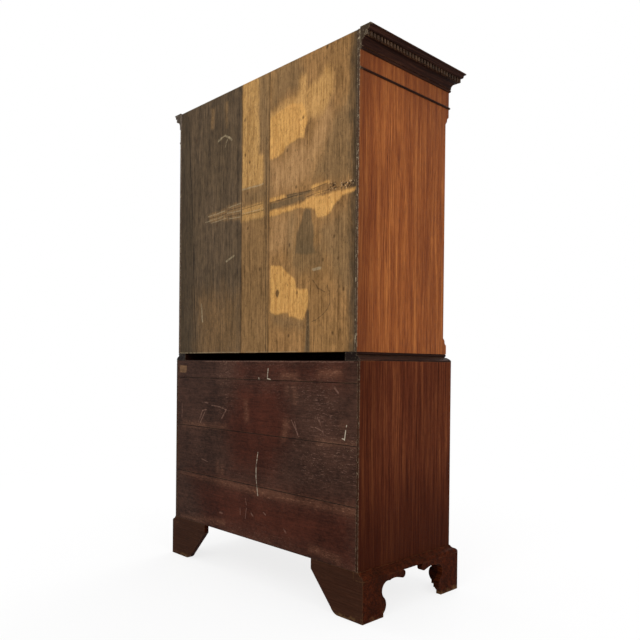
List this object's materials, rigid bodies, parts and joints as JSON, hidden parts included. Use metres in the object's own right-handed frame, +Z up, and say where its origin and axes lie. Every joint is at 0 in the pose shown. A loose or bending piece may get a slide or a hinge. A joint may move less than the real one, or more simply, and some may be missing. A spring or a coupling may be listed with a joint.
{
  "type": "chest on chest",
  "caption": "Tall mahogany chest on chest with dentil cornice, canted corners, graduated drawers with bail handles, moulded waist and bracket feet.",
  "frame": {"origin": "on the floor, midway between the sides and midway between the back and the front of the cornice", "axes": "+X to the right as one faces the drawers, drawers open towards -Y, +Z up"},
  "size_m": [1.094, 0.51, 1.83],
  "materials": {
    "case_mahogany": "old shellac polish over mahogany",
    "drawer_front_mahogany": "old shellac polish over figured mahogany",
    "moulding_mahogany": "dark waxed mahogany mouldings",
    "foot_mahogany": "dark waxed mahogany, worn at the edges",
    "upper_back_pine": "bare weathered pine with scrubbed patches",
    "lower_back_pine": "pine stained dark red-brown, scratched",
    "drawer_lining_oak": "bare oak drawer linings",
    "carcass_pine": "bare pine inside the cases",
    "brass": "cast brass, dulled with age"
  },
  "bodies": {
    "case": {"base_moulding": "foot_mahogany", "corner_posts": "case_mahogany", "cornice_moulding": "moulding_mahogany", "dentil_strips": "moulding_mahogany", "drawer_stops": "carcass_pine", "dustboards": "carcass_pine", "frieze_bead_moulding": "moulding_mahogany", "frieze_board": "case_mahogany", "front_feet": "foot_mahogany", "lower_back_boards": "lower_back_pine", "lower_deck_boards": "carcass_pine", "lower_drawer_rails": "case_mahogany", "lower_side_left": "case_mahogany", "lower_side_right": "case_mahogany", "rear_feet": "foot_mahogany", "runners_and_guides": "carcass_pine", "upper_back_boards": "upper_back_pine", "upper_deck_boards": "carcass_pine", "upper_drawer_rails": "case_mahogany", "upper_side_left": "case_mahogany", "upper_side_right": "case_mahogany", "waist_moulding": "moulding_mahogany"},
    "short_drawer_left": {"short_drawer_left_front": "drawer_front_mahogany", "short_drawer_left_box": "drawer_lining_oak", "short_drawer_left_brasses": "brass"},
    "short_drawer_left_bail": {"short_drawer_left_bail": "brass"},
    "short_drawer_right": {"short_drawer_right_front": "drawer_front_mahogany", "short_drawer_right_box": "drawer_lining_oak", "short_drawer_right_brasses": "brass"},
    "short_drawer_right_bail": {"short_drawer_right_bail": "brass"},
    "upper_drawer_2": {"upper_drawer_2_front": "drawer_front_mahogany", "upper_drawer_2_box": "drawer_lining_oak", "upper_drawer_2_brasses": "brass"},
    "upper_drawer_2_bail_left": {"upper_drawer_2_bail_left": "brass"},
    "upper_drawer_2_bail_right": {"upper_drawer_2_bail_right": "brass"},
    "upper_drawer_3": {"upper_drawer_3_front": "drawer_front_mahogany", "upper_drawer_3_box": "drawer_lining_oak", "upper_drawer_3_brasses": "brass"},
    "upper_drawer_3_bail_left": {"upper_drawer_3_bail_left": "brass"},
    "upper_drawer_3_bail_right": {"upper_drawer_3_bail_right": "brass"},
    "upper_drawer_4": {"upper_drawer_4_front": "drawer_front_mahogany", "upper_drawer_4_box": "drawer_lining_oak", "upper_drawer_4_brasses": "brass"},
    "upper_drawer_4_bail_left": {"upper_drawer_4_bail_left": "brass"},
    "upper_drawer_4_bail_right": {"upper_drawer_4_bail_right": "brass"},
    "lower_drawer_1": {"lower_drawer_1_front": "drawer_front_mahogany", "lower_drawer_1_box": "drawer_lining_oak", "lower_drawer_1_brasses": "brass"},
    "lower_drawer_1_bail_left": {"lower_drawer_1_bail_left": "brass"},
    "lower_drawer_1_bail_right": {"lower_drawer_1_bail_right": "brass"},
    "lower_drawer_2": {"lower_drawer_2_front": "drawer_front_mahogany", "lower_drawer_2_box": "drawer_lining_oak", "lower_drawer_2_brasses": "brass"},
    "lower_drawer_2_bail_left": {"lower_drawer_2_bail_left": "brass"},
    "lower_drawer_2_bail_right": {"lower_drawer_2_bail_right": "brass"},
    "lower_drawer_3": {"lower_drawer_3_front": "drawer_front_mahogany", "lower_drawer_3_box": "drawer_lining_oak", "lower_drawer_3_brasses": "brass"},
    "lower_drawer_3_bail_left": {"lower_drawer_3_bail_left": "brass"},
    "lower_drawer_3_bail_right": {"lower_drawer_3_bail_right": "brass"}
  },
  "joints": [
    {"name": "short_drawer_left_slide", "type": "slide", "parent": "case", "child": "short_drawer_left", "axis": [0, -1, 0], "range_m": [0, 0.33]},
    {"name": "short_drawer_left_bail_swing", "type": "hinge", "parent": "short_drawer_left", "child": "short_drawer_left_bail", "pos_m": [-0.237, -0.2235, 1.6109], "axis": [-1, 0, 0], "range_deg": [-14, 100]},
    {"name": "short_drawer_right_slide", "type": "slide", "parent": "case", "child": "short_drawer_right", "axis": [0, -1, 0], "range_m": [0, 0.33]},
    {"name": "short_drawer_right_bail_swing", "type": "hinge", "parent": "short_drawer_right", "child": "short_drawer_right_bail", "pos_m": [0.237, -0.2235, 1.6109], "axis": [-1, 0, 0], "range_deg": [-14, 100]},
    {"name": "upper_drawer_2_slide", "type": "slide", "parent": "case", "child": "upper_drawer_2", "axis": [0, -1, 0], "range_m": [0, 0.33]},
    {"name": "upper_drawer_2_bail_left_swing", "type": "hinge", "parent": "upper_drawer_2", "child": "upper_drawer_2_bail_left", "pos_m": [-0.275, -0.2235, 1.4234], "axis": [-1, 0, 0], "range_deg": [-14, 100]},
    {"name": "upper_drawer_2_bail_right_swing", "type": "hinge", "parent": "upper_drawer_2", "child": "upper_drawer_2_bail_right", "pos_m": [0.275, -0.2235, 1.4234], "axis": [-1, 0, 0], "range_deg": [-14, 100]},
    {"name": "upper_drawer_3_slide", "type": "slide", "parent": "case", "child": "upper_drawer_3", "axis": [0, -1, 0], "range_m": [0, 0.33]},
    {"name": "upper_drawer_3_bail_left_swing", "type": "hinge", "parent": "upper_drawer_3", "child": "upper_drawer_3_bail_left", "pos_m": [-0.275, -0.2235, 1.2109], "axis": [-1, 0, 0], "range_deg": [-14, 100]},
    {"name": "upper_drawer_3_bail_right_swing", "type": "hinge", "parent": "upper_drawer_3", "child": "upper_drawer_3_bail_right", "pos_m": [0.275, -0.2235, 1.2109], "axis": [-1, 0, 0], "range_deg": [-14, 100]},
    {"name": "upper_drawer_4_slide", "type": "slide", "parent": "case", "child": "upper_drawer_4", "axis": [0, -1, 0], "range_m": [0, 0.33]},
    {"name": "upper_drawer_4_bail_left_swing", "type": "hinge", "parent": "upper_drawer_4", "child": "upper_drawer_4_bail_left", "pos_m": [-0.275, -0.2235, 0.9694], "axis": [-1, 0, 0], "range_deg": [-14, 100]},
    {"name": "upper_drawer_4_bail_right_swing", "type": "hinge", "parent": "upper_drawer_4", "child": "upper_drawer_4_bail_right", "pos_m": [0.275, -0.2235, 0.9694], "axis": [-1, 0, 0], "range_deg": [-14, 100]},
    {"name": "lower_drawer_1_slide", "type": "slide", "parent": "case", "child": "lower_drawer_1", "axis": [0, -1, 0], "range_m": [0, 0.33]},
    {"name": "lower_drawer_1_bail_left_swing", "type": "hinge", "parent": "lower_drawer_1", "child": "lower_drawer_1_bail_left", "pos_m": [-0.275, -0.2365, 0.6929], "axis": [-1, 0, 0], "range_deg": [-14, 100]},
    {"name": "lower_drawer_1_bail_right_swing", "type": "hinge", "parent": "lower_drawer_1", "child": "lower_drawer_1_bail_right", "pos_m": [0.275, -0.2365, 0.6929], "axis": [-1, 0, 0], "range_deg": [-14, 100]},
    {"name": "lower_drawer_2_slide", "type": "slide", "parent": "case", "child": "lower_drawer_2", "axis": [0, -1, 0], "range_m": [0, 0.33]},
    {"name": "lower_drawer_2_bail_left_swing", "type": "hinge", "parent": "lower_drawer_2", "child": "lower_drawer_2_bail_left", "pos_m": [-0.275, -0.2365, 0.4904], "axis": [-1, 0, 0], "range_deg": [-14, 100]},
    {"name": "lower_drawer_2_bail_right_swing", "type": "hinge", "parent": "lower_drawer_2", "child": "lower_drawer_2_bail_right", "pos_m": [0.275, -0.2365, 0.4904], "axis": [-1, 0, 0], "range_deg": [-14, 100]},
    {"name": "lower_drawer_3_slide", "type": "slide", "parent": "case", "child": "lower_drawer_3", "axis": [0, -1, 0], "range_m": [0, 0.33]},
    {"name": "lower_drawer_3_bail_left_swing", "type": "hinge", "parent": "lower_drawer_3", "child": "lower_drawer_3_bail_left", "pos_m": [-0.275, -0.2365, 0.2719], "axis": [-1, 0, 0], "range_deg": [-14, 100]},
    {"name": "lower_drawer_3_bail_right_swing", "type": "hinge", "parent": "lower_drawer_3", "child": "lower_drawer_3_bail_right", "pos_m": [0.275, -0.2365, 0.2719], "axis": [-1, 0, 0], "range_deg": [-14, 100]}
  ]
}
